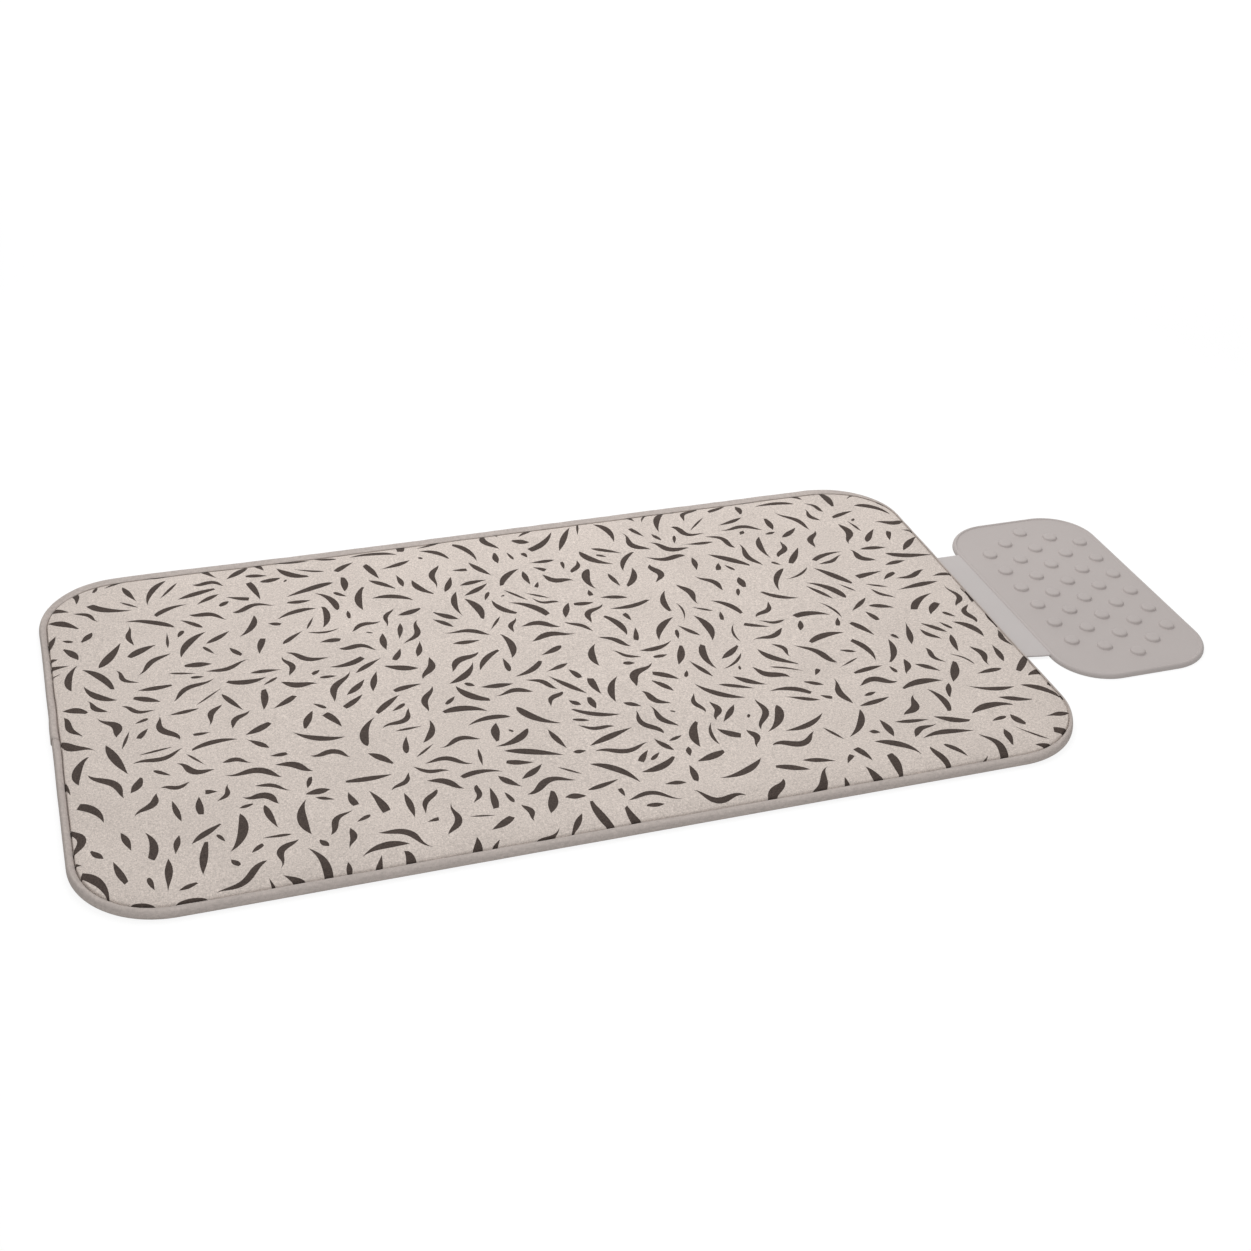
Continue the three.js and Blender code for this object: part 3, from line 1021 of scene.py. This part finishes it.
def build_plate():
    """Plate with its rim and studs, one closed body."""
    base, normals = outline(6 * MM, 2.5 * MM, PLATE_HALF, PLATE_CORNER)
    count = len(base)
    vertices, faces = [], ring_faces(0, len(PLATE_PROFILE), count)
    for inset, z in PLATE_PROFILE:
        inner = base - inset * MM * normals + PLATE_AT
        vertices.extend((x, y, z * MM) for x, y in inner)
    top, triangles, loop = plate_top(inner)
    number = {new: len(vertices) - count + k for k, new in enumerate(loop)}
    for i, point in enumerate(top):
        if i not in number:
            number[i] = len(vertices)
            vertices.append(point)
    faces += [tuple(number[i] for i in triangle) for triangle in triangles]
    faces.append(tuple(reversed(range(count))))
    return sharpened(turn_out(mesh_object("rest_plate_moulding", vertices, faces)))


def neck_section():
    """The neck's section across the pad as (y, z) points, with rounded long edges."""
    middle, thick = (NECK_BOTTOM + NECK_TOP) / 2, NECK_TOP - NECK_BOTTOM
    radius = thick * NECK_ROUND
    round_steps, flat_points, flat_end = 6, 14, NECK_HALF - 8 * MM
    section = []
    for side, level in ((1, NECK_BOTTOM), (-1, NECK_TOP)):
        for k in range(round_steps + 1):
            a = side * math.pi / 2 - math.pi * k / round_steps
            y = side * (NECK_HALF - radius) + radius * math.cos(a)
            section.append((y, middle + thick / 2 * math.sin(a)))
        section += [(y, level) for y in np.linspace(side * flat_end, -side * flat_end, flat_points)]
    return section


def build_neck(name, start, end):
    """A strip of the neck, finely divided along X."""
    rings = []
    for x in np.linspace(start, end, max(2, round((end - start) / NECK_STEP)) + 1):
        slim = NECK_SLIM * smooth((SLIM_FROM - x) / SLIM_RUN)
        rings.append([
            (x, y + PLATE_AT[1] + slim * max(0.0, -y / NECK_HALF), z) for y, z in neck_section()
        ])
    return sharpened(turn_out(sweep(name, rings)))


# Pieces and their finish
settle_cover()
cover = build_cover()
layers = {layer[0]: build_layer(number) for number, layer in enumerate(LAYERS[:-1])}
tape, tape_length = build_tape()
top_stitches = build_stitches(
    "edge_stitches", slit_inset, cover_top, pitch=4 * MM, length=3.5 * MM, radius=0.26 * MM
)
under_stitches = build_stitches(
    "underside_stitches", everywhere(LOW_ROW_INSET), everywhere(LOW_ROW_HEIGHT),
    pitch=4 * MM, length=3 * MM, radius=0.18 * MM,
)
plate = build_plate()
neck_root = build_neck("neck_at_pad", HALF_LENGTH - FLANGE_DEPTH, WEB_MIDDLE)
neck_tip = build_neck("neck_at_plate", WEB_MIDDLE, PLATE_AT[0] - PLATE_HALF[0] + NECK_IN_PLATE)

assign(tape, tape_cloth())
thread = thread_cloth()
assign(top_stitches, thread)
assign(under_stitches, thread)
# Plate and neck are one silicone; the plate's colour is a little darker as painted shade
assign(plate, silicone("silicone_plate_painted_shade", (182, 174, 171)))
neck_silicone = silicone("silicone_neck", (189, 183, 181))
assign(neck_root, neck_silicone)
assign(neck_tip, neck_silicone)
assign(layers["backing"], canvas("backing_canvas", (184, 176, 168), contrast=0.05, roughness=0.95))
assign(layers["foam"], foam())
assign(layers["felt"], felt())
assign(layers["reflector"], metallised())

for piece in (cover, tape, top_stitches, under_stitches, *layers.values()):
    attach(piece, "pad")
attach(plate, "rest")
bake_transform(neck_root)
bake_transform(neck_tip)

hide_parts("top_cover")
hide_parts("edge_binding")
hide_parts("backing_cloth")
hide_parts("foam_padding")
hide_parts("felt_padding")
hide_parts("reflecting_layer")
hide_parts("rest_flange")
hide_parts("rest_web")
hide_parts("rest_plate")


# Floor, light and camera
FLOOR_HALF = 14
FLOOR_DROP = 0.05 * MM
FLOOR_COLOR, FLOOR_SEEN = 0.65, 0.17
GLOW_PLACES, FLOOR_GLOW = (1.2, 3.0), (0.86, 0.98)  # how far from the middle, and how bright there
WHITE = (1, 1, 1, 1)
AMBIENT = 0.53
AIM = Vector((0.15, 0.02, 0))
# Name, power, size, place
LAMPS = (("key", 11, 0.8, (0.12, 0.6, 1.35)), ("fill", 12, 1.5, (-0.5, -2.3, 1.6)))


def seen_or(tree, seen, unseen, kind):
    """Mixes two shaders: one for what the camera, gloss and glass see, one for the light it gives."""
    ray = 0
    for name in ("Is Camera Ray", "Is Glossy Ray", "Is Transmission Ray"):
        found = add_node(tree, "LightPath", output=name)
        ray = add_node(tree, "Math", {0: ray, 1: found}, operation="MAXIMUM")
    mix = add_node(tree, "MixShader", {0: ray, 1: unseen, 2: seen})
    tree.links.new(mix, tree.nodes[kind].inputs["Surface"])


def floor_paint():
    """Plain pale paint. To the camera it fades to white away from the pad, and keeps the pad's shadow."""
    paint = bpy.data.materials.new("floor_paint")
    paint.use_nodes = True
    tree = paint.node_tree
    tree.nodes.remove(tree.nodes["Principled BSDF"])
    matte = add_node(tree, "BsdfDiffuse", {"Color": (*[FLOOR_COLOR] * 3, 1)})
    shown = add_node(tree, "BsdfDiffuse", {"Color": (*[FLOOR_SEEN] * 3, 1)})
    place = add_node(tree, "TexCoord", output="Object")
    apart = add_node(tree, "VectorMath", {0: place}, output="Value", operation="LENGTH")
    strength = add_node(tree, "MapRange", dict(enumerate((apart, *GLOW_PLACES, *FLOOR_GLOW))))
    glow = add_node(tree, "Emission", {"Color": WHITE, "Strength": strength})
    seen_or(tree, add_node(tree, "AddShader", {0: shown, 1: glow}), matte, "Material Output")
    return paint


floor = mesh_object("floor", [
    (x * FLOOR_HALF, y * FLOOR_HALF, 0) for x, y in ((-1, -1), (1, -1), (1, 1), (-1, 1))
], [(0, 1, 2, 3)])
floor.location.z = -FLOOR_DROP
assign(floor, floor_paint())

# The world is white to the camera, and gives plain soft light from all round
world = bpy.data.worlds.new("studio")
scene.world = world
world.use_nodes = True
ambient = world.node_tree.nodes["Background"]
ambient.inputs["Color"].default_value = WHITE
ambient.inputs["Strength"].default_value = AMBIENT
white = add_node(world.node_tree, "Background", {"Color": WHITE, "Strength": 1})
seen_or(world.node_tree, white, ambient.outputs[0], "World Output")

for name, power, size, at in LAMPS:
    lamp = bpy.data.lights.new(name, "AREA")
    lamp.shape, lamp.size, lamp.energy = "SQUARE", size, power
    softbox = new_object(name, lamp)
    softbox.location = at
    softbox.rotation_euler = (AIM - softbox.location).to_track_quat("-Z", "Y").to_euler()

lens = bpy.data.cameras.new("camera")
lens.sensor_width, lens.lens = 36, 53.63233
lens.clip_start, lens.clip_end = 0.01, 100
camera = new_object("camera", lens)
placed = Matrix.Translation((-0.4188124, -1.429695, 0.9960105))
for axis, degrees in (("Z", -15.09383658), ("X", 57.63773629), ("Y", -3.48629707)):
    placed = placed @ Matrix.Rotation(math.radians(degrees), 4, axis)
camera.matrix_world = placed
scene.camera = camera
bpy.context.scene.view_settings.view_transform = "Standard"
